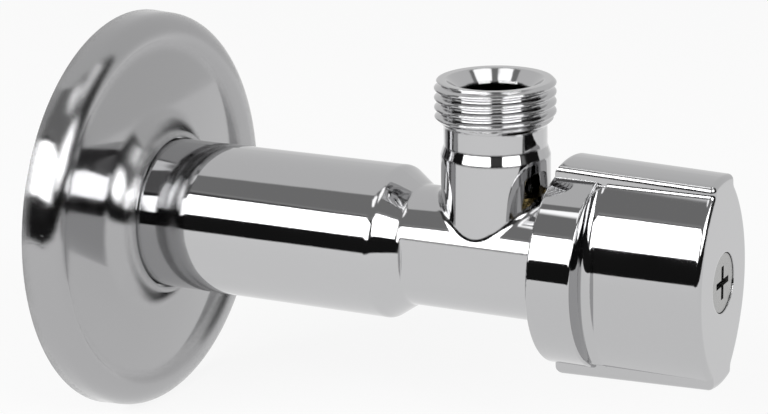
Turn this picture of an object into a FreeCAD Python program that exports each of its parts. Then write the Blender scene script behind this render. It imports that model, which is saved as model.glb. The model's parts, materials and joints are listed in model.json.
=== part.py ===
import FreeCAD, Part
import math
import os
import re
import Sketcher

# Angle valve for a basin or cistern: G1/2 inlet in the wall, 3/8 outlet upwards, turning knob in front.
# Frame: origin on the inlet axis in the plane of the wall, +X out of the wall along the valve's axis,
# +Z up along the outlet. All lengths in millimetres, angles in degrees.

doc = FreeCAD.newDocument("angle_valve")
sizes = doc.addObject("Spreadsheet::Sheet", "Sizes")

SIZE_ROWS = [
    # Valve body, along the valve's axis
    ("outlet_from_wall", 58.8, "wall to the outlet's axis"),
    ("inlet_thread_diameter", 20.955, "G1/2, crest"),
    ("inlet_thread_length", 11.0, "screwed into the wall"),
    ("inlet_bore", 15.0, "water way in the barrel"),
    ("thread_lead_in", 0.9, "chamfer at the start of the inlet thread"),
    ("barrel_diameter", 21.76, "plain barrel that the escutcheon slides on"),
    ("cone_length", 3.4, "cone from the barrel down to the waist"),
    ("cone_edge", 1.5, "rounding from the barrel to the cone"),
    ("cone_hollow", 0.9, "rounding from the cone to the waist"),
    ("waist_reach", 11.3, "slim end of the cone to the outlet's axis"),
    ("waist_diameter", 17.02, "slim part of the body round the valve seat"),
    ("waist_across_flats", 15.8, "spanner flats on the two sides of the waist"),
    ("flat_setback", 0.3, "end of the cone to the start of the flats"),
    ("body_reach", 9.6, "outlet's axis to the end face of the body"),
    ("body_end_chamfer", 0.5, "edge of the end face"),
    # Outlet branch, upwards
    ("boss_diameter", 15.1, "outlet branch"),
    ("boss_height", 14.4, "valve's axis to the top of the plain branch"),
    ("boss_fillet", 1.3, "hollow where the branch meets the waist"),
    ("relief_diameter", 14.2, "neck under the outlet thread"),
    ("relief_chamfer", 1.4, "height of the step from the branch to the neck"),
    ("thread_start_height", 18.6, "valve's axis to the first outlet thread"),
    ("outlet_thread_diameter", 16.662, "G3/8, crest"),
    ("outlet_height", 24.8, "valve's axis to the outlet's rim"),
    ("outlet_lead_in", 0.4, "chamfer at the outlet's rim"),
    ("outlet_bore", 10.1, "takes a 10 mm pipe"),
    ("outlet_mouth", 13.4, "wide end of the sealing cone"),
    ("outlet_mouth_depth", 1.6, "height of the sealing cone"),
    ("pipe_stop_height", 10.8, "valve's axis to the ledge that stops the pipe"),
    ("outlet_passage", 7.4, "water way from the chamber to the pipe"),
    # Seat and chamber
    ("seat_reach", 5.6, "seat face to the outlet's axis"),
    ("seat_bore", 7.5, "water way through the seat"),
    ("seat_rim", 9.6, "outside of the raised seat"),
    ("seat_rim_height", 1.0, "seat above the bottom of the chamber"),
    ("seat_web", 3.5, "straight length of the seat's water way"),
    ("inlet_bore_cone", 2.2, "drill cone at the end of the inlet bore"),
    ("chamber_diameter", 12.4, "room round the closing disc"),
    # Screwed bonnet and its seal
    ("bonnet_thread_diameter", 13.5, "M14x1, at its pitch line"),
    ("thread_play", 0.05, "radial play that stands for the cut of any inner thread"),
    ("bonnet_reach", 4.3, "outlet's axis to the inner end of the bonnet"),
    ("bonnet_thread_room", 0.3, "free length past the inner end of the bonnet"),
    ("gasket_thickness", 0.8, "ring seal under the bonnet"),
    ("gasket_outside", 16.4, "ring seal"),
    ("gasket_inside_gap", 0.1, "seal's bore round the bonnet's thread, radial"),
    ("bonnet_across_flats", 17.0, "hexagon"),
    ("bonnet_hex_length", 4.2, "hexagon"),
    ("bonnet_hex_chamfer", 0.8, "corners of the hexagon"),
    ("bonnet_neck_diameter", 12.0, "neck beyond the hexagon"),
    ("bonnet_neck_length", 5.9, "neck beyond the hexagon"),
    ("bonnet_cap_thickness", 1.2, "wall that stops the spindle's collar"),
    # Spindle
    ("lift", 4.5, "travel of the spindle from closed to open"),
    ("spindle_thread_diameter", 10.0, "three turns of 1.5 mm pitch open it"),
    ("running_gap", 0.05, "radial play of the spindle and of the closing disc's stem"),
    ("spindle_nose_diameter", 6.8, "between the thread and the closing disc"),
    ("spindle_nose_gap", 0.05, "end play to the closing disc"),
    ("spindle_thread_reach", 2.0, "outlet's axis to the inner end of the spindle's thread"),
    ("spindle_thread_chamfer", 0.8, "both ends of the thread"),
    ("o_ring_section", 1.6, "cord diameter of the two spindle seals"),
    ("o_ring_groove_width", 1.8, "groove of each seal"),
    ("o_ring_gap", 0.02, "seal to its groove and to the bonnet's bore"),
    ("collar_land", 0.6, "land beyond each seal groove"),
    ("stem_diameter", 8.0, "spindle through the bonnet's cap"),
    ("stem_cover", 4.5, "outer end of the spindle below the knob's face"),
    ("spline_length", 7.0, "toothed end that drives the knob"),
    ("spline_depth", 0.45, "depth of a tooth"),
    ("spline_teeth", 20, "teeth round the end"),
    ("spindle_tap_depth", 9.0, "threaded hole for the knob's screw"),
    # Closing disc
    ("jumper_stem_diameter", 4.0, "turns freely in the spindle"),
    ("jumper_stem_length", 5.5, "stem in the spindle's socket"),
    ("socket_room", 0.6, "free depth past the stem's end"),
    ("jumper_diameter", 10.8, "disc that carries the washer"),
    ("jumper_plate", 1.5, "thickness of the disc"),
    ("jumper_skirt", 1.0, "rim round the washer"),
    ("washer_thickness", 3.0, "rubber seat washer"),
    ("washer_diameter", 10.0, "rubber seat washer"),
    ("washer_hole", 3.3, "hole in the washer"),
    ("closing_gap", 0.05, "washer to the seat when closed"),
    ("washer_screw_diameter", 3.0, "screw that holds the washer"),
    ("washer_screw_length", 5.2, "under the head"),
    ("washer_screw_head", 5.2, "head diameter"),
    ("washer_screw_head_height", 1.4, "head"),
    ("washer_screw_slot", 0.8, "width and depth of the slot"),
    # Knob
    ("knob_reach", 10.2, "outlet's axis to the back of the knob"),
    ("knob_length", 22.8, "back of the knob to its face"),
    ("collar_diameter", 27.28, "round collar at the back of the knob"),
    ("collar_length", 6.3, "round collar at the back of the knob"),
    ("collar_wall", 1.7, "round the collar's hollow"),
    ("collar_floor", 1.4, "between the collar's hollow and its front face"),
    ("step_hollow", 1.2, "hollow between the collar's front and the side of the grip"),
    ("grip_half_width", 9.2, "axis to the side of the grip"),
    ("grip_side_radius", 18.0, "curve of each side of the grip"),
    ("rib_half_width", 3.9, "axis to the side of a rib"),
    ("rib_radius_back", 15.2, "axis to the top of a rib, at the back"),
    ("rib_taper", 0.7, "fall of a rib's top from the back to the face"),
    ("rib_setback", 0.3, "back of the knob to the start of a rib"),
    ("rib_edge", 1.0, "rounding along the top of a rib"),
    ("rib_hollow", 0.8, "hollow between a rib and the side of the grip"),
    ("knob_face_edge", 0.8, "rounding round the face"),
    ("collar_edge", 0.35, "rounding of the collar's edges"),
    ("knob_wall", 1.9, "wall of the grip"),
    ("knob_front_wall", 2.4, "wall behind the face"),
    ("knob_post_diameter", 13.8, "post in the knob that takes the spindle"),
    ("knob_post_gap", 0.8, "bonnet's neck to the knob's post"),
    ("spline_play", 0.05, "knob's teeth to the spindle's"),
    ("spindle_end_gap", 0.2, "spindle's end to the bottom of the knob's socket"),
    # Knob's screw
    ("screw_diameter", 4.0, "M4"),
    ("screw_length", 11.0, "with the head"),
    ("screw_head_diameter", 8.0, "countersunk head"),
    ("screw_head_sink", 0.15, "head below the knob's face"),
    ("screw_head_rim", 0.3, "straight rim of the head"),
    ("screw_head_gap", 0.15, "radial play round the head"),
    ("screw_cross_width", 0.9, "arm of the cross recess"),
    ("screw_cross_length", 4.6, "cross recess, tip to tip"),
    ("screw_cross_depth", 1.5, "cross recess"),
    # Escutcheon
    ("escutcheon_diameter", 58.6, "widest"),
    ("escutcheon_sheet", 0.7, "thickness of the sheet"),
    ("escutcheon_rim_height", 5.0, "wall to the top of the rim"),
    ("escutcheon_rim_draft", 0.3, "rim's taper, radial"),
    ("escutcheon_rim_radius", 2.2, "rounding of the rim's outside"),
    ("escutcheon_rim_hollow", 1.2, "roundings from the rim's top to the face"),
    ("escutcheon_rim_width", 4.6, "rim's outside to the flat face"),
    ("escutcheon_face_height", 3.9, "wall to the flat face"),
    ("escutcheon_neck_wall", 0.85, "wall of the short neck"),
    ("escutcheon_neck_height", 7.1, "wall to the end of the neck"),
    ("escutcheon_neck_fillet", 2.5, "hollow between the face and the neck"),
    ("escutcheon_neck_edge", 0.5, "rounding of the neck's end"),
    ("escutcheon_gap", 0.27, "radial play on the barrel"),
]

for row, (alias, value, note) in enumerate(SIZE_ROWS, start=1):
    sizes.set(f"A{row}", alias)
    sizes.set(f"B{row}", str(value))
    sizes.set(f"C{row}", note)
    sizes.setAlias(f"B{row}", alias)
doc.recompute()

ALIASES = {alias for alias, value, note in SIZE_ROWS}

# Places that several pieces share, as formulas of the sizes
PLACES = {
    "waist_start": "(outlet_from_wall - waist_reach)",
    "seat_place": "(outlet_from_wall - seat_reach)",
    "body_end": "(outlet_from_wall + body_reach)",
    "hex_start": "(body_end + gasket_thickness)",
    "neck_start": "(hex_start + bonnet_hex_length)",
    "neck_end": "(neck_start + bonnet_neck_length)",
    "cap_inside": "(neck_end - bonnet_cap_thickness)",
    "collar_top": "(cap_inside - lift)",
    "upper_groove": "(collar_top - collar_land - o_ring_groove_width)",
    "lower_groove": "(upper_groove - collar_land - o_ring_groove_width)",
    "spindle_bore": "(spindle_thread_diameter / 2 + running_gap)",
    "stem_end": "(knob_face - stem_cover)",
    "washer_face": "(seat_place + closing_gap)",
    "washer_back": "(washer_face + washer_thickness)",
    "jumper_back": "(washer_back + jumper_plate)",
    "spindle_start": "(jumper_back + spindle_nose_gap)",
    "knob_back": "(outlet_from_wall + knob_reach)",
    "collar_front": "(knob_back + collar_length)",
    "knob_face": "(knob_back + knob_length)",
    "collar_hollow_end": "(collar_front - collar_floor)",
    "grip_hollow_end": "(knob_face - knob_front_wall)",
    "post_start": "(neck_end + knob_post_gap)",
    "socket_end": "(stem_end + spindle_end_gap)",
    "screw_top": "(knob_face - screw_head_sink)",
    "grip_side_centre": "(grip_side_radius - grip_half_width)",
    "rib_radius_front": "(rib_radius_back - rib_taper)",
    "seal_radius": "(spindle_bore - o_ring_gap - o_ring_section / 2)",
}


def bound(text):
    """A formula of sizes and places, written for the sheet."""
    while any(word in PLACES for word in re.findall(r"\b[a-z_]+\b", text)):
        text = re.sub(r"\b[a-z_]+\b", lambda word: PLACES.get(word[0], word[0]), text)
    return re.sub(r"\b[a-z_]+\b", lambda word: "Sizes." + word[0] if word[0] in ALIASES else word[0], text)


def number(text):
    """The present value of a formula."""
    found = sizes.evalExpression(bound(text))
    return float(getattr(found, "Value", found))


def new_body(name):
    body = doc.addObject("PartDesign::Body", name)
    body.Label = name
    return body


def new_sketch(body, name, role, across="0", along="0"):
    """A sketch on an origin plane. Across shifts its own first axis, along lifts it off the plane."""
    plane = next(item for item in body.Origin.OriginFeatures if item.Role == role)
    sketch = body.newObject("Sketcher::SketchObject", name)
    sketch.AttachmentSupport = (plane, "")
    sketch.MapMode = "FlatFace"
    sketch.setExpression("AttachmentOffset.Base.x", f"({bound(across)}) * 1 mm")
    sketch.setExpression("AttachmentOffset.Base.z", f"({bound(along)}) * 1 mm")
    return sketch


def hold(sketch, kind, places, formula):
    """Adds one driving dimension to a sketch and ties it to a formula."""
    index = sketch.addConstraint(Sketcher.Constraint(kind, *places, number(formula)))
    sketch.setExpression(f"Constraints[{index}]", bound(formula))


def draw_outline(sketch, corners):
    """A closed outline through corners (across, up) or (across, up, rounding), each tied to the sizes."""
    points = [FreeCAD.Vector(number(corner[0]), number(corner[1]), 0) for corner in corners]
    count = len(points)
    for i in range(count):
        sketch.addGeometry(Part.LineSegment(points[i], points[(i + 1) % count]), False)
    for i in range(count):
        sketch.addConstraint(Sketcher.Constraint("Coincident", i, 2, (i + 1) % count, 1))
    for i, corner in enumerate(corners):
        hold(sketch, "DistanceX", (i, 1), corner[0])
        hold(sketch, "DistanceY", (i, 1), corner[1])
    for i, corner in enumerate(corners):
        if len(corner) > 2:
            sketch.fillet((i - 1) % count, 2, number(corner[2]), True, True)
            arc = max(k for k, item in enumerate(sketch.Geometry) if isinstance(item, Part.ArcOfCircle))
            hold(sketch, "Radius", (arc,), corner[2])


def draw_circle(sketch, across, up, radius):
    centre = FreeCAD.Vector(number(across), number(up), 0)
    circle = sketch.addGeometry(Part.Circle(centre, FreeCAD.Vector(0, 0, 1), number(radius)), False)
    hold(sketch, "DistanceX", (circle, 3), across)
    hold(sketch, "DistanceY", (circle, 3), up)
    hold(sketch, "Radius", (circle,), radius)


def turn(body, kind, name, corners, axis="H_Axis", across="0", along="0"):
    """A revolved or grooved outline round the valve's axis, or round an axis set across or along from it."""
    sketch = new_sketch(body, name + "_outline", "XZ_Plane", across=across, along=along)
    draw_outline(sketch, corners)
    feature = body.newObject("PartDesign::" + kind, name)
    feature.Profile = sketch
    feature.ReferenceAxis = (sketch, [axis])
    feature.Angle = 360
    return feature


def extrude(body, kind, name, sketch, length, backwards=False):
    feature = body.newObject("PartDesign::" + kind, name)
    feature.Profile = sketch
    feature.setExpression("Length", f"({bound(length)}) * 1 mm")
    feature.Reversed = backwards
    return feature


def around_axis(body, name, feature, count):
    """Copies of a feature all round the valve's axis."""
    doc.recompute()
    pattern = body.newObject("PartDesign::PolarPattern", name)
    pattern.Originals = [feature]
    pattern.Axis = (next(item for item in body.Origin.OriginFeatures if item.Role == "X_Axis"), [""])
    pattern.Angle = 360
    pattern.setExpression("Occurrences", bound(count))
    body.Tip = pattern
    return pattern


def round_edges(body, kind, name, base, chosen, size):
    """Fillets or chamfers the edges of base that the test picks."""
    doc.recompute()
    names = [f"Edge{i}" for i, edge in enumerate(base.Shape.Edges, start=1) if chosen(edge)]
    feature = body.newObject("PartDesign::" + kind, name)
    feature.Base = (base, names)
    feature.setExpression("Radius" if kind == "Fillet" else "Size", f"({bound(size)}) * 1 mm")
    return feature


def near(value, formula, slack=0.01):
    return abs(value - number(formula)) < slack


def make_valve_body():
    """The chromed brass body: inlet thread, barrel, cone, waist with flats and the outlet branch."""
    body = new_body("valve_body")
    turn(body, "Revolution", "barrel_and_waist", [
        ("-inlet_thread_length", "0"),
        ("-inlet_thread_length", "inlet_thread_diameter / 2 - thread_lead_in"),
        ("-inlet_thread_length + thread_lead_in", "inlet_thread_diameter / 2"),
        ("0", "inlet_thread_diameter / 2"),
        ("0", "barrel_diameter / 2"),
        ("waist_start - cone_length", "barrel_diameter / 2", "cone_edge"),
        ("waist_start", "waist_diameter / 2", "cone_hollow"),
        ("body_end - body_end_chamfer", "waist_diameter / 2"),
        ("body_end", "waist_diameter / 2 - body_end_chamfer"),
        ("body_end", "0"),
    ])
    neck_top = "boss_height + relief_chamfer"
    branch = turn(body, "Revolution", "outlet_branch", [
        ("0", "0"),
        ("boss_diameter / 2", "0"),
        ("boss_diameter / 2", "boss_height"),
        ("relief_diameter / 2", neck_top),
        ("relief_diameter / 2", "thread_start_height"),
        ("outlet_thread_diameter / 2", "thread_start_height + (outlet_thread_diameter - relief_diameter) / 2"),
        ("outlet_thread_diameter / 2", "outlet_height - outlet_lead_in"),
        ("outlet_thread_diameter / 2 - outlet_lead_in", "outlet_height"),
        ("0", "outlet_height"),
    ], axis="V_Axis", across="outlet_from_wall")
    round_edges(body, "Fillet", "branch_hollow", branch, lambda edge: (
        edge.Curve.TypeId not in ("Part::GeomCircle", "Part::GeomLine")
        and edge.BoundBox.ZMin > 0
        and edge.BoundBox.ZMax < number("waist_diameter")
    ), "boss_fillet")
    for side, direction in (("near_flat", -1), ("far_flat", 1)):
        flats = new_sketch(body, side + "_outline", "XZ_Plane", along=f"{-direction} * waist_across_flats / 2")
        draw_outline(flats, [
            ("waist_start + flat_setback", "-waist_diameter / 2"),
            ("body_end + body_end_chamfer", "-waist_diameter / 2"),
            ("body_end + body_end_chamfer", "waist_diameter / 2"),
            ("waist_start + flat_setback", "waist_diameter / 2"),
        ])
        extrude(body, "Pocket", side, flats, "waist_diameter / 2", backwards=direction < 0)
    bore_end = "seat_place - seat_web"
    turn(body, "Groove", "inlet_way", [
        ("-inlet_thread_length", "0"),
        ("-inlet_thread_length", "inlet_bore / 2"),
        (f"{bore_end} - inlet_bore_cone", "inlet_bore / 2"),
        (bore_end, "seat_bore / 2"),
        ("seat_place", "seat_bore / 2"),
        ("seat_place", "0"),
    ])
    turn(body, "Groove", "chamber", [
        ("seat_place", "0"),
        ("seat_place", "seat_rim / 2"),
        ("seat_place - seat_rim_height", "seat_rim / 2"),
        ("seat_place - seat_rim_height", "chamber_diameter / 2"),
        ("outlet_from_wall + bonnet_reach - bonnet_thread_room", "chamber_diameter / 2"),
        ("outlet_from_wall + bonnet_reach - bonnet_thread_room", "bonnet_thread_diameter / 2 + thread_play"),
        ("body_end", "bonnet_thread_diameter / 2 + thread_play"),
        ("body_end", "0"),
    ])
    turn(body, "Groove", "outlet_way", [
        ("0", "0"),
        ("outlet_passage / 2", "0"),
        ("outlet_passage / 2", "pipe_stop_height"),
        ("outlet_bore / 2", "pipe_stop_height"),
        ("outlet_bore / 2", "outlet_height - outlet_mouth_depth"),
        ("outlet_mouth / 2", "outlet_height"),
        ("0", "outlet_height"),
    ], axis="V_Axis", across="outlet_from_wall")
    return body


def make_escutcheon():
    """The pressed cover plate: raised round rim on the wall, flat face, short neck round the barrel."""
    body = new_body("escutcheon")
    outside = "escutcheon_diameter / 2"
    hole = "barrel_diameter / 2 + escutcheon_gap"
    neck = f"{hole} + escutcheon_neck_wall"
    crest = "escutcheon_rim_height"
    side = f"({outside} - escutcheon_rim_draft)"
    step = f"{outside} - escutcheon_rim_width + {crest} - escutcheon_face_height"
    inset = "escutcheon_sheet * tan(22.5 deg)"
    turn(body, "Revolution", "pressed_sheet", [
        ("0", outside),
        (crest, side, "escutcheon_rim_radius"),
        (crest, step, "escutcheon_rim_hollow"),
        ("escutcheon_face_height", f"{outside} - escutcheon_rim_width", "escutcheon_rim_hollow"),
        ("escutcheon_face_height", neck, "escutcheon_neck_fillet"),
        ("escutcheon_neck_height", neck, "escutcheon_neck_edge"),
        ("escutcheon_neck_height", hole),
        ("escutcheon_face_height - escutcheon_sheet", hole),
        ("escutcheon_face_height - escutcheon_sheet", f"{outside} - escutcheon_rim_width + {inset}",
         "escutcheon_rim_hollow + escutcheon_sheet"),
        (f"{crest} - escutcheon_sheet", f"{step} + {inset}", "escutcheon_rim_hollow - escutcheon_sheet"),
        (f"{crest} - escutcheon_sheet", f"{side} - escutcheon_sheet",
         "escutcheon_rim_radius - escutcheon_sheet"),
        ("0", f"{outside} - escutcheon_sheet"),
    ])
    return body


def make_bonnet():
    """The brass bonnet: threaded shank, hexagon and the neck that guides the spindle."""
    body = new_body("bonnet")
    shank = "bonnet_thread_diameter / 2"
    start = "outlet_from_wall + bonnet_reach"
    neck = "bonnet_neck_diameter / 2"
    turn(body, "Revolution", "shank_and_neck", [
        (start, "0"),
        (start, f"{shank} - 0.5"),
        (f"{start} + 0.5", shank),
        ("hex_start", shank),
        ("neck_start", shank),
        ("neck_start", neck),
        ("neck_end - 0.6", neck),
        ("neck_end", f"{neck} - 0.6"),
        ("neck_end", "0"),
    ])
    hexagon = new_sketch(body, "hexagon_outline", "YZ_Plane", along="hex_start")
    corner = "bonnet_across_flats / 2 / cos(30 deg)"
    draw_outline(hexagon, [
        (f"{corner} * cos({60 * i} deg)", f"{corner} * sin({60 * i} deg)") for i in range(6)
    ])
    extrude(body, "Pad", "hexagon", hexagon, "bonnet_hex_length")
    turn(body, "Groove", "hexagon_corners", [
        ("neck_start", "bonnet_across_flats / 2"),
        ("neck_start", "bonnet_across_flats"),
        ("neck_start - bonnet_hex_chamfer", "bonnet_across_flats"),
        ("neck_start - bonnet_hex_chamfer", "bonnet_across_flats / 2 / cos(30 deg)"),
    ])
    turn(body, "Groove", "spindle_bore", [
        (start, "0"),
        (start, "spindle_bore"),
        ("cap_inside", "spindle_bore"),
        ("cap_inside", "stem_diameter / 2 + running_gap"),
        ("neck_end", "stem_diameter / 2 + running_gap"),
        ("neck_end", "0"),
    ])
    return body


def make_bonnet_gasket():
    """The flat ring that seals the bonnet on the body's end face."""
    body = new_body("bonnet_gasket")
    inside = "bonnet_thread_diameter / 2 + gasket_inside_gap"
    turn(body, "Revolution", "ring", [
        ("body_end", inside),
        ("hex_start", inside),
        ("hex_start", "gasket_outside / 2"),
        ("body_end", "gasket_outside / 2"),
    ])
    return body


def make_spindle():
    """The rising spindle: nose with a socket, thread, two seal grooves, stem and splined end."""
    body = new_body("spindle")
    thread = "spindle_thread_diameter / 2"
    thread_start = "outlet_from_wall + spindle_thread_reach"
    groove_floor = "seal_radius - o_ring_section / 2 - o_ring_gap"
    stem = "stem_diameter / 2"
    turn(body, "Revolution", "turned_spindle", [
        ("spindle_start", "0"),
        ("spindle_start", "spindle_nose_diameter / 2"),
        (thread_start, "spindle_nose_diameter / 2"),
        (thread_start, f"{thread} - spindle_thread_chamfer"),
        (f"{thread_start} + spindle_thread_chamfer", thread),
        ("lower_groove", thread),
        ("lower_groove", groove_floor),
        ("lower_groove + o_ring_groove_width", groove_floor),
        ("lower_groove + o_ring_groove_width", thread),
        ("upper_groove", thread),
        ("upper_groove", groove_floor),
        ("upper_groove + o_ring_groove_width", groove_floor),
        ("upper_groove + o_ring_groove_width", thread),
        ("collar_top", thread),
        ("collar_top", stem),
        ("stem_end - spline_depth", stem),
        ("stem_end", f"{stem} - spline_depth"),
        ("stem_end", "0"),
    ])
    socket = "jumper_stem_diameter / 2 + running_gap"
    turn(body, "Groove", "disc_socket", [
        ("spindle_start", "0"),
        ("spindle_start", socket),
        ("jumper_back + jumper_stem_length + socket_room", socket),
        ("jumper_back + jumper_stem_length + socket_room", "0"),
    ])
    tap = "screw_diameter / 2 + thread_play"
    turn(body, "Groove", "screw_hole", [
        ("stem_end - spindle_tap_depth", "0"),
        ("stem_end - spindle_tap_depth", tap),
        ("stem_end", tap),
        ("stem_end", "0"),
    ])
    notch = new_sketch(body, "tooth_gap_outline", "YZ_Plane", along="stem_end")
    draw_outline(notch, [
        ("0", f"{stem} - spline_depth"),
        ("spline_depth * 1.2", f"{stem} + spline_depth * 0.2"),
        ("-spline_depth * 1.2", f"{stem} + spline_depth * 0.2"),
    ])
    gap = extrude(body, "Pocket", "tooth_gap", notch, "spline_length")
    around_axis(body, "spline", gap, "spline_teeth")
    return body


def make_o_ring(name, groove):
    """A round rubber ring in one of the spindle's grooves."""
    body = new_body(name)
    section = new_sketch(body, name + "_section", "XZ_Plane")
    draw_circle(section, f"{groove} + o_ring_groove_width / 2", "seal_radius", "o_ring_section / 2")
    ring = body.newObject("PartDesign::Revolution", name + "_ring")
    ring.Profile = section
    ring.ReferenceAxis = (section, ["H_Axis"])
    ring.Angle = 360
    return body


def make_jumper():
    """The brass disc that carries the washer; its stem turns in the spindle."""
    body = new_body("jumper")
    tap = "washer_screw_diameter / 2 + thread_play"
    turn(body, "Revolution", "disc_and_stem", [
        ("washer_back", "0"),
        ("washer_back", "washer_diameter / 2"),
        ("washer_back - jumper_skirt", "washer_diameter / 2"),
        ("washer_back - jumper_skirt", "jumper_diameter / 2"),
        ("jumper_back", "jumper_diameter / 2"),
        ("jumper_back", "jumper_stem_diameter / 2"),
        ("jumper_back + jumper_stem_length - 0.4", "jumper_stem_diameter / 2"),
        ("jumper_back + jumper_stem_length", "jumper_stem_diameter / 2 - 0.4"),
        ("jumper_back + jumper_stem_length", "0"),
    ])
    turn(body, "Groove", "screw_hole", [
        ("washer_back", "0"),
        ("washer_back", tap),
        ("washer_face + washer_screw_length + 0.4", tap),
        ("washer_face + washer_screw_length + 0.4", "0"),
    ])
    return body


def make_seat_washer():
    """The rubber washer that closes the seat."""
    body = new_body("seat_washer")
    turn(body, "Revolution", "washer_ring", [
        ("washer_face", "washer_hole / 2"),
        ("washer_back", "washer_hole / 2"),
        ("washer_back", "washer_diameter / 2"),
        ("washer_face", "washer_diameter / 2"),
    ])
    return body


def make_washer_screw():
    """The slotted screw that holds the washer on its disc."""
    body = new_body("washer_screw")
    turn(body, "Revolution", "head_and_shank", [
        ("washer_face - washer_screw_head_height", "0"),
        ("washer_face - washer_screw_head_height", "washer_screw_head / 2"),
        ("washer_face", "washer_screw_head / 2"),
        ("washer_face", "washer_screw_diameter / 2"),
        ("washer_face + washer_screw_length", "washer_screw_diameter / 2"),
        ("washer_face + washer_screw_length", "0"),
    ])
    slot = new_sketch(body, "slot_outline", "YZ_Plane", along="washer_face - washer_screw_head_height")
    draw_outline(slot, [
        ("-washer_screw_slot / 2", "-washer_screw_head"),
        ("washer_screw_slot / 2", "-washer_screw_head"),
        ("washer_screw_slot / 2", "washer_screw_head"),
        ("-washer_screw_slot / 2", "washer_screw_head"),
    ])
    extrude(body, "Pocket", "slot", slot, "washer_screw_slot", backwards=True)
    return body


def draw_grip(sketch, inset):
    """The grip's pointed oval: two side arcs that meet above and below, moved in by inset."""
    centre = number("grip_side_centre")
    radius = number("grip_side_radius") - number(inset)
    spread = math.degrees(math.acos(centre / radius))
    normal = FreeCAD.Vector(0, 0, 1)
    for side in (1, -1):
        circle = Part.Circle(FreeCAD.Vector(-side * centre, 0, 0), normal, radius)
        middle = 0 if side > 0 else 180
        ends = [math.radians(middle + turned) for turned in (-spread, spread)]
        sketch.addGeometry(Part.ArcOfCircle(circle, *ends), False)
    sketch.addConstraint(Sketcher.Constraint("Coincident", 0, 2, 1, 1))
    sketch.addConstraint(Sketcher.Constraint("Coincident", 1, 2, 0, 1))
    for arc, side in ((0, "-"), (1, "")):
        hold(sketch, "DistanceX", (arc, 3), f"{side}grip_side_centre")
        hold(sketch, "DistanceY", (arc, 3), "0")
        hold(sketch, "Radius", (arc,), f"grip_side_radius - {inset}")


def at_place(edge, formula):
    """True where the whole edge lies in one plane across the valve's axis."""
    return near(edge.BoundBox.XMin, formula) and near(edge.BoundBox.XMax, formula)


def runs_along(edge):
    """True for a straight edge that runs along the valve's axis, or nearly."""
    box = edge.BoundBox
    return edge.Curve.TypeId == "Part::GeomLine" and box.XLength > 2 * max(box.YLength, box.ZLength)


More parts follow.
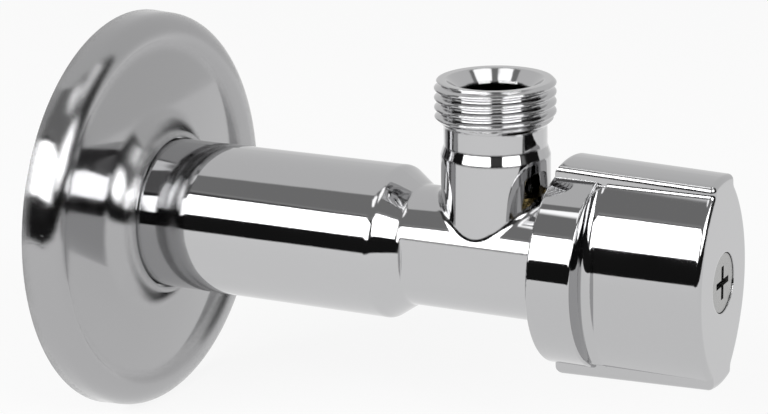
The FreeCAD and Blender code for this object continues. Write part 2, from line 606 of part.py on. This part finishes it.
def make_knob():
    """The die-cast knob: round collar, waisted grip with a rib above and below, hollow from behind."""
    body = new_body("knob")
    rim = "collar_diameter / 2"
    blank = "rib_radius_back + rib_edge"
    turn(body, "Revolution", "collar_and_blank", [
        ("knob_back", "0"),
        ("knob_back", rim, "collar_edge"),
        ("collar_front", rim, "collar_edge"),
        ("collar_front", f"{rim} - collar_edge * 1.3"),
        ("collar_front + step_hollow * 1.2", f"{rim} - collar_edge * 1.3"),
        ("collar_front + step_hollow * 1.2", blank),
        ("knob_face", blank),
        ("knob_face", "0"),
    ])
    for side, sign in (("near", "-"), ("far", "")):
        turn(body, "Groove", side + "_side", [
            ("collar_front", "grip_side_radius", "step_hollow"),
            ("knob_face + 1", "grip_side_radius"),
            ("knob_face + 1", "grip_side_radius + grip_side_centre + rib_radius_back"),
            ("collar_front", "grip_side_radius + grip_side_centre + rib_radius_back"),
        ], along=f"{sign}grip_side_centre")
    bar = new_sketch(body, "rib_outline", "YZ_Plane", along="knob_back + rib_setback")
    draw_outline(bar, [
        ("-rib_half_width", "-rib_radius_back - 1"),
        ("rib_half_width", "-rib_radius_back - 1"),
        ("rib_half_width", "rib_radius_back + 1"),
        ("-rib_half_width", "rib_radius_back + 1"),
    ])
    extrude(body, "Pad", "ribs", bar, "knob_length - rib_setback")
    tops = turn(body, "Groove", "rib_tops", [
        ("knob_back", "rib_radius_back"),
        ("knob_face", "rib_radius_front"),
        ("knob_face", "rib_radius_back + 3"),
        ("knob_back", "rib_radius_back + 3"),
    ])
    hollows = round_edges(body, "Fillet", "rib_hollows", tops, lambda edge: (
        runs_along(edge)
        and near(abs(edge.BoundBox.Center.y), "rib_half_width")
        and near(edge.BoundBox.XMax, "knob_face")
        and abs(edge.BoundBox.Center.z) < number("rib_radius_front") - 1.5
    ), "rib_hollow")
    crests = round_edges(body, "Fillet", "rib_crests", hollows, lambda edge: (
        near(abs(edge.BoundBox.Center.y), "rib_half_width", 0.02)
        and near(edge.BoundBox.XMax, "knob_face")
        and edge.BoundBox.XLength > 5
        and abs(edge.BoundBox.Center.z) > number("rib_radius_front") - 1.2
        or at_place(edge, "knob_back + rib_setback")
        and math.hypot(edge.CenterOfMass.y, edge.CenterOfMass.z) > number("rib_radius_back") - 0.6
    ), "rib_edge")
    round_edges(body, "Fillet", "face_edge", crests, lambda edge: at_place(edge, "knob_face"), "knob_face_edge")
    collar_hollow = new_sketch(body, "collar_hollow_outline", "YZ_Plane", along="knob_back")
    draw_circle(collar_hollow, "0", "0", "collar_diameter / 2 - collar_wall")
    extrude(body, "Pocket", "collar_hollow", collar_hollow, "collar_hollow_end - knob_back", backwards=True)
    grip_hollow = new_sketch(body, "grip_hollow_outline", "YZ_Plane", along="collar_hollow_end")
    draw_grip(grip_hollow, "knob_wall")
    extrude(body, "Pocket", "grip_hollow", grip_hollow, "grip_hollow_end - collar_hollow_end", backwards=True)
    post = new_sketch(body, "post_outline", "YZ_Plane", along="post_start")
    draw_circle(post, "0", "0", "knob_post_diameter / 2")
    extrude(body, "Pad", "post", post, "grip_hollow_end - post_start + knob_front_wall / 2")
    head = "screw_head_diameter / 2 + screw_head_gap"
    hole = "screw_diameter / 2 + screw_head_gap"
    socket = "stem_diameter / 2 + spline_play"
    turn(body, "Groove", "socket_and_screw_hole", [
        ("post_start", "0"),
        ("post_start", socket),
        ("socket_end", socket),
        ("socket_end", hole),
        (f"screw_top - screw_head_rim - ({head} - ({hole}))", hole),
        ("screw_top - screw_head_rim", head),
        ("knob_face", head),
        ("knob_face", "0"),
    ])
    tooth = new_sketch(body, "tooth_outline", "YZ_Plane", along="stem_end")
    draw_outline(tooth, [
        ("0", "stem_diameter / 2 - spline_depth + spline_play * 2"),
        ("spline_depth * 1.2 - spline_play * 1.5", "stem_diameter / 2 + spline_depth * 0.2 + spline_play * 2"),
        ("-spline_depth * 1.2 + spline_play * 1.5", "stem_diameter / 2 + spline_depth * 0.2 + spline_play * 2"),
    ])
    teeth = extrude(body, "Pad", "tooth", tooth, "spline_length - 6 * spline_play", backwards=True)
    around_axis(body, "socket_teeth", teeth, "spline_teeth")
    return body


def make_knob_screw():
    """The countersunk screw that holds the knob on the spindle."""
    body = new_body("knob_screw")
    head = "screw_head_diameter / 2"
    shank = "screw_diameter / 2"
    turn(body, "Revolution", "head_and_shank", [
        ("screw_top", "0"),
        ("screw_top", head),
        ("screw_top - screw_head_rim", head),
        (f"screw_top - screw_head_rim - ({head} - {shank})", shank),
        ("screw_top - screw_length", shank),
        ("screw_top - screw_length", "0"),
    ])
    cross = new_sketch(body, "cross_outline", "YZ_Plane", along="screw_top")
    arm = "screw_cross_width / 2"
    tip = "screw_cross_length / 2"
    draw_outline(cross, [
        (arm, arm), (arm, tip), (f"-{arm}", tip), (f"-{arm}", arm), (f"-{tip}", arm), (f"-{tip}", f"-{arm}"),
        (f"-{arm}", f"-{arm}"), (f"-{arm}", f"-{tip}"), (arm, f"-{tip}"), (arm, f"-{arm}"),
        (tip, f"-{arm}"), (tip, arm),
    ])
    extrude(body, "Pocket", "cross", cross, "screw_cross_depth")
    return body


pieces = [
    make_valve_body(),
    make_escutcheon(),
    make_bonnet(),
    make_bonnet_gasket(),
    make_spindle(),
    make_o_ring("spindle_o_ring_lower", "lower_groove"),
    make_o_ring("spindle_o_ring_upper", "upper_groove"),
    make_jumper(),
    make_seat_washer(),
    make_washer_screw(),
    make_knob(),
    make_knob_screw(),
]
doc.recompute()

for item in doc.Objects:
    if "Invalid" in item.State or "Error" in item.State:
        raise RuntimeError(f"{item.Label} could not be computed: {item.State}")

os.makedirs("parts", exist_ok=True)
for piece in pieces:
    shape = piece.Shape
    if shape.isNull() or not shape.isValid() or len(shape.Solids) != 1:
        raise RuntimeError(f"{piece.Label} is not one sound solid")
    shape.exportStep(f"parts/{piece.Label}.step")
    box = shape.BoundBox
    print(f"{piece.Label:22s} volume {shape.Volume:9.1f}  x {box.XMin:7.2f} {box.XMax:7.2f}"
          f"  y {box.YMin:7.2f} {box.YMax:7.2f}  z {box.ZMin:7.2f} {box.ZMax:7.2f}")
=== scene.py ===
import json
import math

import bpy
from mathutils import Matrix, Vector

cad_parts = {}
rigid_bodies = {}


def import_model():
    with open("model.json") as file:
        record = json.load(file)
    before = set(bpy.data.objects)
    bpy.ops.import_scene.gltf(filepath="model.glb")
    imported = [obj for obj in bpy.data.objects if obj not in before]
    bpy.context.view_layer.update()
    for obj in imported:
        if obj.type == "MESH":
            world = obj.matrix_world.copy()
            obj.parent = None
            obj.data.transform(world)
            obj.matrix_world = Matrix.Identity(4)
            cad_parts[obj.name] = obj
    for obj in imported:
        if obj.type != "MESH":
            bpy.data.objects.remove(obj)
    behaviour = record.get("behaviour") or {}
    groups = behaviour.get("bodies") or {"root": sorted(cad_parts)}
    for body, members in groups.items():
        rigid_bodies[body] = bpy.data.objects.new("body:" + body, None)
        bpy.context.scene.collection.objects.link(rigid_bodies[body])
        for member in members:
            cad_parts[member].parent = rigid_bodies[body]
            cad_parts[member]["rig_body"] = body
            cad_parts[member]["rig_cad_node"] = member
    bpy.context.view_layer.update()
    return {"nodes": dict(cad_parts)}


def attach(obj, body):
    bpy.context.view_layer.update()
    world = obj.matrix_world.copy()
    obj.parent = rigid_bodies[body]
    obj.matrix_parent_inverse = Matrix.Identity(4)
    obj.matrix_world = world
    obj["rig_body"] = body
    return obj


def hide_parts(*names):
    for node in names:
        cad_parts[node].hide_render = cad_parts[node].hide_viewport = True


# Angle valve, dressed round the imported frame: the real turns of both pipe threads, and every finish.
# Metres. Origin on the inlet axis in the plane of the wall, +X out of the wall, +Z up the outlet.

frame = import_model()
bpy.ops.object.select_all(action="DESELECT")

MM = 0.001

# How far the outlet's axis stands from the wall
OUTLET_X = 58.8 * MM

# Outlet thread, G3/8
OUTLET_CREST = 16.662 / 2 * MM
OUTLET_ROOT = 15.2 / 2 * MM
OUTLET_PITCH = 1.337 * MM
OUTLET_START = 18.6 * MM
OUTLET_RIM = 24.8 * MM
OUTLET_GROOVE_FOOT = OUTLET_START - 1.25 * OUTLET_PITCH  # puts the crests where the photograph has them

# Inlet thread, G1/2
INLET_CREST = 20.955 / 2 * MM
INLET_ROOT = 18.631 / 2 * MM
INLET_PITCH = 1.814 * MM
INLET_END = -11.0 * MM
INLET_GROOVE_FOOT = -0.6 * INLET_PITCH
ALONG_INLET = (0, -math.pi / 2, 0)

THREAD_SIDES = 128


def linear(code):
    """The linear colour of an sRGB hex code."""
    values = [int(code[i:i + 2], 16) / 255 for i in (1, 3, 5)]
    return [v / 12.92 if v <= 0.04045 else ((v + 0.055) / 1.055) ** 2.4 for v in values] + [1]


def node(tree, kind, settings=None, **inputs):
    """Adds a node. An input is named, or numbered after a _, and takes a value or a node's output."""
    made = tree.nodes.new(kind)
    for name, value in (settings or {}).items():
        setattr(made, name, value)
    for name, value in inputs.items():
        socket = made.inputs[int(name[1:])] if name[1:].isdigit() else made.inputs[name.replace("_", " ")]
        if isinstance(value, bpy.types.NodeSocket):
            tree.links.new(value, socket)
        else:
            socket.default_value = value
    return made


def new_material(name):
    material = bpy.data.materials.new(name)
    material.use_nodes = True
    material.node_tree.nodes.clear()
    return material


def surface(tree, shader):
    node(tree, "ShaderNodeOutputMaterial", Surface=shader)


def chrome_plate(name, colour, sheen, ripple, ripple_size, edge, dome=None):
    """Bright chrome on nickel: a mirror with the faint ripple and soft edges of the polished metal below.

    Sheen is its roughness, ripple the height of its waves, ripple_size their length and edge the radius of
    its edges. Dome is the radius of the swell of pressed sheet, on faces that lie across the valve's axis.
    """
    material = new_material(name)
    tree = material.node_tree
    place = node(tree, "ShaderNodeTexCoord").outputs["Object"]
    haze = node(tree, "ShaderNodeTexNoise", Vector=place, Scale=1 / (6 * MM), Detail=3.0, Roughness=0.6)
    rough = node(tree, "ShaderNodeMapRange", Value=haze.outputs["Fac"], From_Min=0.3, From_Max=0.75,
                 To_Min=sheen * 0.7, To_Max=sheen * 1.5)
    wave = node(tree, "ShaderNodeTexNoise", Vector=place, Scale=1 / ripple_size, Detail=1.0, Roughness=0.4)
    soft_edge = node(tree, "ShaderNodeBevel", {"samples": 6}, Radius=edge)
    bump = node(tree, "ShaderNodeBump", Strength=1.0, Distance=ripple, Height=wave.outputs["Fac"],
                Normal=soft_edge.outputs["Normal"])
    if dome:
        across = node(tree, "ShaderNodeVectorMath", {"operation": "MULTIPLY"}, _0=place,
                      _1=(0, 1, 1)).outputs[0]
        squared = node(tree, "ShaderNodeVectorMath", {"operation": "DOT_PRODUCT"}, _0=across, _1=across)
        fall = node(tree, "ShaderNodeMath", {"operation": "MULTIPLY"}, _0=squared.outputs["Value"],
                    _1=-0.5 / dome)
        bump = node(tree, "ShaderNodeBump", Strength=1.0, Distance=1.0, Height=fall.outputs[0],
                    Normal=bump.outputs["Normal"])
    shader = node(tree, "ShaderNodeBsdfPrincipled", Base_Color=linear(colour), Metallic=1.0,
                  Roughness=rough.outputs["Result"], Normal=bump.outputs["Normal"])
    surface(tree, shader.outputs["BSDF"])
    return material


def turned_brass():
    """Bare brass off the lathe: warm yellow with fine rings round the valve's axis."""
    material = new_material("turned_brass")
    tree = material.node_tree
    place = node(tree, "ShaderNodeTexCoord").outputs["Object"]
    rings = node(tree, "ShaderNodeTexWave", {"bands_direction": "X"}, Vector=place, Scale=1 / (0.9 * MM),
                 Distortion=0.6, Detail=1.0)
    bump = node(tree, "ShaderNodeBump", Strength=0.25, Distance=0.01 * MM, Height=rings.outputs["Fac"])
    stain = node(tree, "ShaderNodeTexNoise", Vector=place, Scale=1 / (4 * MM), Detail=4.0)
    tone = node(tree, "ShaderNodeMix", {"data_type": "RGBA"}, Factor=stain.outputs["Fac"],
                _6=linear("#9A8858"), _7=linear("#6E5F3E"))
    shader = node(tree, "ShaderNodeBsdfPrincipled", Base_Color=tone.outputs[2], Metallic=1.0,
                  Roughness=0.26, Normal=bump.outputs["Normal"])
    surface(tree, shader.outputs["BSDF"])
    return material


def moulded_rubber():
    """Black nitrile rubber: dark, dull, with the fine grain of the mould."""
    material = new_material("moulded_rubber")
    tree = material.node_tree
    place = node(tree, "ShaderNodeTexCoord").outputs["Object"]
    grain = node(tree, "ShaderNodeTexNoise", Vector=place, Scale=1 / (0.15 * MM), Detail=2.0)
    bump = node(tree, "ShaderNodeBump", Strength=0.4, Distance=0.01 * MM, Height=grain.outputs["Fac"])
    rough = node(tree, "ShaderNodeMapRange", Value=grain.outputs["Fac"], To_Min=0.5, To_Max=0.75)
    shader = node(tree, "ShaderNodeBsdfPrincipled", Base_Color=linear("#1C1C1D"),
                  Roughness=rough.outputs["Result"], Normal=bump.outputs["Normal"])
    surface(tree, shader.outputs["BSDF"])
    return material


def plated_steel():
    """Zinc-plated screw steel: greyer and duller than the chrome round it."""
    material = new_material("plated_steel")
    tree = material.node_tree
    place = node(tree, "ShaderNodeTexCoord").outputs["Object"]
    grain = node(tree, "ShaderNodeTexNoise", Vector=place, Scale=1 / (0.5 * MM), Detail=3.0)
    rough = node(tree, "ShaderNodeMapRange", Value=grain.outputs["Fac"], To_Min=0.16, To_Max=0.34)
    bump = node(tree, "ShaderNodeBump", Strength=1.0, Distance=0.015 * MM, Height=grain.outputs["Fac"])
    shader = node(tree, "ShaderNodeBsdfPrincipled", Base_Color=linear("#A3A3A2"), Metallic=1.0,
                  Roughness=rough.outputs["Result"], Normal=bump.outputs["Normal"])
    surface(tree, shader.outputs["BSDF"])
    return material


chrome_body = chrome_plate("chrome_plated_brass", "#BEBEBF", sheen=0.04, ripple=0.02 * MM,
                           ripple_size=7 * MM, edge=0.45 * MM)
# The sheet's darker base colour is painted shade: it stands in for the dimmer surroundings that its face
# mirrors, not for a darker plating.
chrome_escutcheon = chrome_plate("chrome_plated_sheet", "#AAAAAB", sheen=0.08, ripple=0.01 * MM,
                                 ripple_size=12 * MM, edge=2.2 * MM, dome=125 * MM)
chrome_knob = chrome_plate("chrome_plated_casting", "#B9B9BA", sheen=0.04, ripple=0.012 * MM,
                           ripple_size=8 * MM, edge=0.25 * MM)
brass = turned_brass()
rubber = moulded_rubber()
steel = plated_steel()


def dress(piece, material):
    """One finish for the whole piece, in its own material slot."""
    piece.data.materials.clear()
    piece.data.materials.append(material)


finishes = {
    "valve_body": chrome_body, "escutcheon": chrome_escutcheon, "knob": chrome_knob, "knob_screw": steel,
    "bonnet": brass, "spindle": brass, "jumper": brass, "washer_screw": brass,
    "bonnet_gasket": rubber, "spindle_o_ring_lower": rubber, "spindle_o_ring_upper": rubber,
    "seat_washer": rubber,
}
for name, material in finishes.items():
    dress(frame["nodes"][name], material)


def take(piece):
    """Makes a piece the only selected one."""
    bpy.ops.object.select_all(action="DESELECT")
    bpy.context.view_layer.objects.active = piece
    piece.select_set(True)


def copy_body():
    """A joined-up copy of the body's loose triangles, ready to be cut."""
    source = frame["nodes"]["valve_body"]
    piece = source.copy()
    piece.data = source.data.copy()
    piece.name = "threaded_body"
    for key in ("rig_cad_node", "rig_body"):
        if key in piece:
            del piece[key]
    piece.parent = None
    bpy.context.collection.objects.link(piece)
    take(piece)
    bpy.ops.object.mode_set(mode="EDIT")
    bpy.ops.mesh.select_all(action="SELECT")
    bpy.ops.mesh.remove_doubles(threshold=0.0005 * MM, use_sharp_edge_from_normals=True)
    bpy.ops.object.mode_set(mode="OBJECT")
    return piece


def finish_with(piece, kind, settings):
    """Adds a modifier and applies it."""
    take(piece)
    modifier = piece.modifiers.new(kind.lower(), kind)
    for name, value in settings.items():
        setattr(modifier, name, value)
    bpy.ops.object.modifier_apply(modifier=modifier.name)


def groove_cutter(root, crest, pitch, turns):
    """The room between the turns of a 55 degree pipe thread, wound round Z from z = 0 up.

    Half its outline runs from the rounded root up the flank and over the rounded shoulder of the crest. It
    stays under half a pitch, because a cut fails where the cutter's turns touch. No turns make one ring.
    """
    edge = crest - 0.14 * pitch
    flank = 0.09 * pitch + (edge - root) * math.tan(math.radians(27.5))
    shoulder = min(flank + 0.15 * pitch, 0.455 * pitch)
    half = [(root, 0.04 * pitch), (root + 0.03 * pitch, 0.09 * pitch), (edge, flank),
            (crest - 0.05 * pitch, (flank + shoulder) / 2), (crest + 0.02 * MM, shoulder),
            (crest + 0.3 * MM, 0.47 * pitch)]
    outline = half + [(radius, -rise) for radius, rise in reversed(half)]
    bpy.ops.mesh.primitive_circle_add(vertices=len(outline), radius=1, fill_type="NOTHING")
    cutter = bpy.context.object
    for vertex, (radius, rise) in zip(cutter.data.vertices, outline):
        vertex.co = (radius, 0, rise)
    finish_with(cutter, "SCREW", {
        "axis": "Z", "steps": THREAD_SIDES, "render_steps": THREAD_SIDES, "angle": 2 * math.pi,
        "screw_offset": pitch if turns else 0, "iterations": turns or 1, "use_merge_vertices": not turns,
        "merge_threshold": 0.001 * MM,
    })
    bpy.ops.object.mode_set(mode="EDIT")
    bpy.ops.mesh.select_all(action="DESELECT")
    bpy.ops.mesh.select_non_manifold()
    bpy.ops.mesh.edge_face_add()
    bpy.ops.mesh.select_all(action="SELECT")
    bpy.ops.mesh.normals_make_consistent(inside=False)
    bpy.ops.object.mode_set(mode="OBJECT")
    bpy.ops.object.shade_smooth_by_angle(angle=math.radians(35))
    return cutter


def cut_away(piece, cutter, place, turn=(0, 0, 0)):
    """Cuts one piece out of another and throws the cutter away."""
    cutter.location = place
    cutter.rotation_euler = turn
    finish_with(piece, "BOOLEAN", {"operation": "DIFFERENCE", "solver": "EXACT", "object": cutter})
    bpy.data.objects.remove(cutter)


def thread_body():
    """The body with the real turns of both threads."""
    body = copy_body()
    outlet_turns = math.ceil((OUTLET_RIM - OUTLET_START) / OUTLET_PITCH) + 2
    outlet = groove_cutter(OUTLET_ROOT, OUTLET_CREST, OUTLET_PITCH, outlet_turns)
    cut_away(body, outlet, (OUTLET_X, 0, OUTLET_GROOVE_FOOT))
    inlet_turns = math.ceil(-INLET_END / INLET_PITCH)
    inlet = groove_cutter(INLET_ROOT, INLET_CREST, INLET_PITCH, inlet_turns)
    cut_away(body, inlet, (INLET_GROOVE_FOOT, 0, 0), ALONG_INLET)
    runout = groove_cutter(INLET_ROOT, INLET_CREST, INLET_PITCH, 0)
    cut_away(body, runout, (INLET_GROOVE_FOOT, 0, 0), ALONG_INLET)
    dress(body, chrome_body)
    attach(body, "valve")
    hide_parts("valve_body")


thread_body()

# The camera stands where the photograph was taken from, fitted to the object's outlines.
CAMERA_PLACE = Vector((0.19876, -0.30425, 0.10564))
CAMERA_TURN = [math.radians(v) for v in (27.342, 16.419, -1.266)]  # azimuth, elevation and roll
LENS = 118.99
SENSOR_WIDTH = 36


def place_camera():
    azimuth, elevation, roll = CAMERA_TURN
    bpy.ops.object.camera_add(location=CAMERA_PLACE)
    camera = bpy.context.object
    camera.rotation_euler = (
        Matrix.Rotation(azimuth, 3, "Z")
        @ Matrix.Rotation(math.pi / 2 - elevation, 3, "X")
        @ Matrix.Rotation(roll, 3, "Z")
    ).to_euler()
    camera.data.sensor_width = SENSOR_WIDTH
    camera.data.lens = LENS
    camera.data.clip_start = 0.01
    bpy.context.scene.camera = camera


place_camera()

STAGE_CENTRE = Vector((0.05, 0, 0))
FLOOR_HEIGHT = -0.0294
FLOOR_RADIUS = 0.34

# Soft boxes: azimuth in degrees from -Y towards +X, and width
SOFTBOXES = ((-18.5, 0.86), (59.3, 0.49))
SOFTBOX_ELEVATION = 29
SOFTBOX_HEIGHT = 0.34
SOFTBOX_DISTANCE = 0.75
SOFTBOX_BRIGHTNESS = 5.0

# Cloths: azimuth, half width, foot, head and softness in degrees, then brightness
TENT_CLOTHS = (
    (25, 102, None, 16, 1.0, 0.012),
    (25, 102, 16, 43, 1.5, 0.07),
    (25, 102, 43, None, 2.0, 0.27),
    (-28, 33, 63, 79, 1.5, 2.0),
    (85, 33, 61, 79, 1.5, 2.0),
)
BACK_CLOTH = 0.78
TENT_RADIUS = 0.9

# The table's cloth and the two elevations that its far edge fades between
TABLE_CLOTH = 0.86
TABLE_EDGE = (-7, -5.5)

MATT_SURROUNDINGS = 0.4


def seen_directly(tree):
    """1 for what is seen straight, in a mirror or through glass, and 0 for the light on other things."""
    path = node(tree, "ShaderNodeLightPath")
    first = node(tree, "ShaderNodeMath", {"operation": "MAXIMUM"}, _0=path.outputs["Is Camera Ray"],
                 _1=path.outputs["Is Glossy Ray"])
    return node(tree, "ShaderNodeMath", {"operation": "MAXIMUM"}, _0=first.outputs[0],
                _1=path.outputs["Is Transmission Ray"]).outputs[0]


def lay_floor():
    """Pale table: white to the eye and in the chrome, with the valve's shadow left on it."""
    bpy.ops.mesh.primitive_circle_add(vertices=128, radius=FLOOR_RADIUS, fill_type="NGON",
                                      location=(STAGE_CENTRE.x, 0, FLOOR_HEIGHT))
    floor = bpy.context.object
    floor.name = "floor"
    material = new_material("white_table_top")
    tree = material.node_tree
    matt = node(tree, "ShaderNodeBsdfDiffuse", Color=linear("#FAFAFA"))
    glow = node(tree, "ShaderNodeEmission", Color=linear("#FFFFFF"), Strength=1.0)
    share = node(tree, "ShaderNodeMath", {"operation": "MULTIPLY"}, _0=seen_directly(tree), _1=TABLE_CLOTH)
    mixed = node(tree, "ShaderNodeMixShader", _0=share.outputs[0], _1=matt.outputs[0], _2=glow.outputs[0])
    surface(tree, mixed.outputs[0])
    floor.data.materials.append(material)


def smooth_step(tree, value, start, end):
    """0 before start and 1 past end; it falls instead where start lies past end."""
    low, high = min(start, end), max(start, end)
    return node(tree, "ShaderNodeMapRange", {"interpolation_type": "SMOOTHSTEP"}, Value=value, From_Min=low,
                From_Max=high, To_Min=0.0 if start < end else 1.0, To_Max=1.0 if start < end else 0.0,
                ).outputs["Result"]


def cloth_share(tree, sideways, height, azimuth, half_width, low, high, soft):
    """1 on one stretch of cloth, given by its middle azimuth, half width, foot and head in degrees.

    Without a foot it hangs to the table, and without a head it closes overhead.
    """
    a = math.radians(azimuth)
    facing = node(tree, "ShaderNodeVectorMath", {"operation": "DOT_PRODUCT"}, _0=sideways,
                  _1=(math.sin(a), -math.cos(a), 0)).outputs["Value"]
    wide, slim = (math.cos(math.radians(half_width + d)) for d in (soft, -soft))
    share = smooth_step(tree, facing, wide, slim)
    for edge, fade in ((low, soft), (high, -soft)):
        if edge is not None:
            step = smooth_step(tree, height, *(math.sin(math.radians(edge + d)) for d in (-fade, fade)))
            share = node(tree, "ShaderNodeMath", {"operation": "MULTIPLY"}, _0=share, _1=step).outputs[0]
    return share


def pitch_tent():
    """Cloth round the set that only the metal sees: grey behind, black bands and white panels in front."""
    bpy.ops.mesh.primitive_uv_sphere_add(segments=64, ring_count=48, radius=TENT_RADIUS,
                                         location=STAGE_CENTRE)
    tent = bpy.context.object
    tent.name = "light_tent"
    material = new_material("studio_cloth")
    tree = material.node_tree
    place = node(tree, "ShaderNodeTexCoord").outputs["Object"]
    outwards = node(tree, "ShaderNodeVectorMath", {"operation": "NORMALIZE"}, _0=place).outputs[0]
    height = node(tree, "ShaderNodeSeparateXYZ", Vector=outwards).outputs["Z"]
    level = node(tree, "ShaderNodeVectorMath", {"operation": "MULTIPLY"}, _0=place, _1=(1, 1, 0)).outputs[0]
    sideways = node(tree, "ShaderNodeVectorMath", {"operation": "NORMALIZE"}, _0=level).outputs[0]
    grey = BACK_CLOTH
    for azimuth, half_width, low, high, soft, brightness in TENT_CLOTHS:
        share = cloth_share(tree, sideways, height, azimuth, half_width, low, high, soft)
        grey = node(tree, "ShaderNodeMix", Factor=share, _2=grey, _3=brightness).outputs[0]
    above_table = smooth_step(tree, height, *(math.sin(math.radians(edge)) for edge in TABLE_EDGE))
    grey = node(tree, "ShaderNodeMix", Factor=above_table, _2=TABLE_CLOTH, _3=grey).outputs[0]
    glow = node(tree, "ShaderNodeEmission", Color=linear("#FFFFFF"), Strength=grey)
    surface(tree, glow.outputs[0])
    material.cycles.emission_sampling = "NONE"
    tent.data.materials.append(material)
    tent.visible_camera = False
    tent.visible_diffuse = False
    tent.visible_shadow = False


def hang_softbox(azimuth, width):
    """A white light box, seen from the valve at that azimuth."""
    a, e = math.radians(azimuth), math.radians(SOFTBOX_ELEVATION)
    towards = Vector((math.sin(a) * math.cos(e), -math.cos(a) * math.cos(e), math.sin(e)))
    bpy.ops.object.light_add(type="AREA", location=STAGE_CENTRE + towards * SOFTBOX_DISTANCE)
    lamp = bpy.context.object
    lamp.rotation_euler = towards.to_track_quat("Z", "Y").to_euler()
    lamp.data.shape = "RECTANGLE"
    lamp.data.size = width
    lamp.data.size_y = SOFTBOX_HEIGHT
    lamp.data.energy = SOFTBOX_BRIGHTNESS * math.pi * width * SOFTBOX_HEIGHT


def light_world():
    """White surroundings: plain white to the eye, and on matt surfaces what the soft boxes leave to add."""
    world = bpy.data.worlds.new("white_surroundings")
    bpy.context.scene.world = world
    world.use_nodes = True
    tree = world.node_tree
    tree.nodes.clear()
    strength = node(tree, "ShaderNodeMapRange", Value=seen_directly(tree), To_Min=MATT_SURROUNDINGS,
                    To_Max=1.0)
    glow = node(tree, "ShaderNodeBackground", Color=linear("#FFFFFF"), Strength=strength.outputs["Result"])
    node(tree, "ShaderNodeOutputWorld", Surface=glow.outputs[0])


lay_floor()
pitch_tent()
for azimuth, width in SOFTBOXES:
    hang_softbox(azimuth, width)
light_world()
bpy.context.scene.view_settings.view_transform = "Standard"
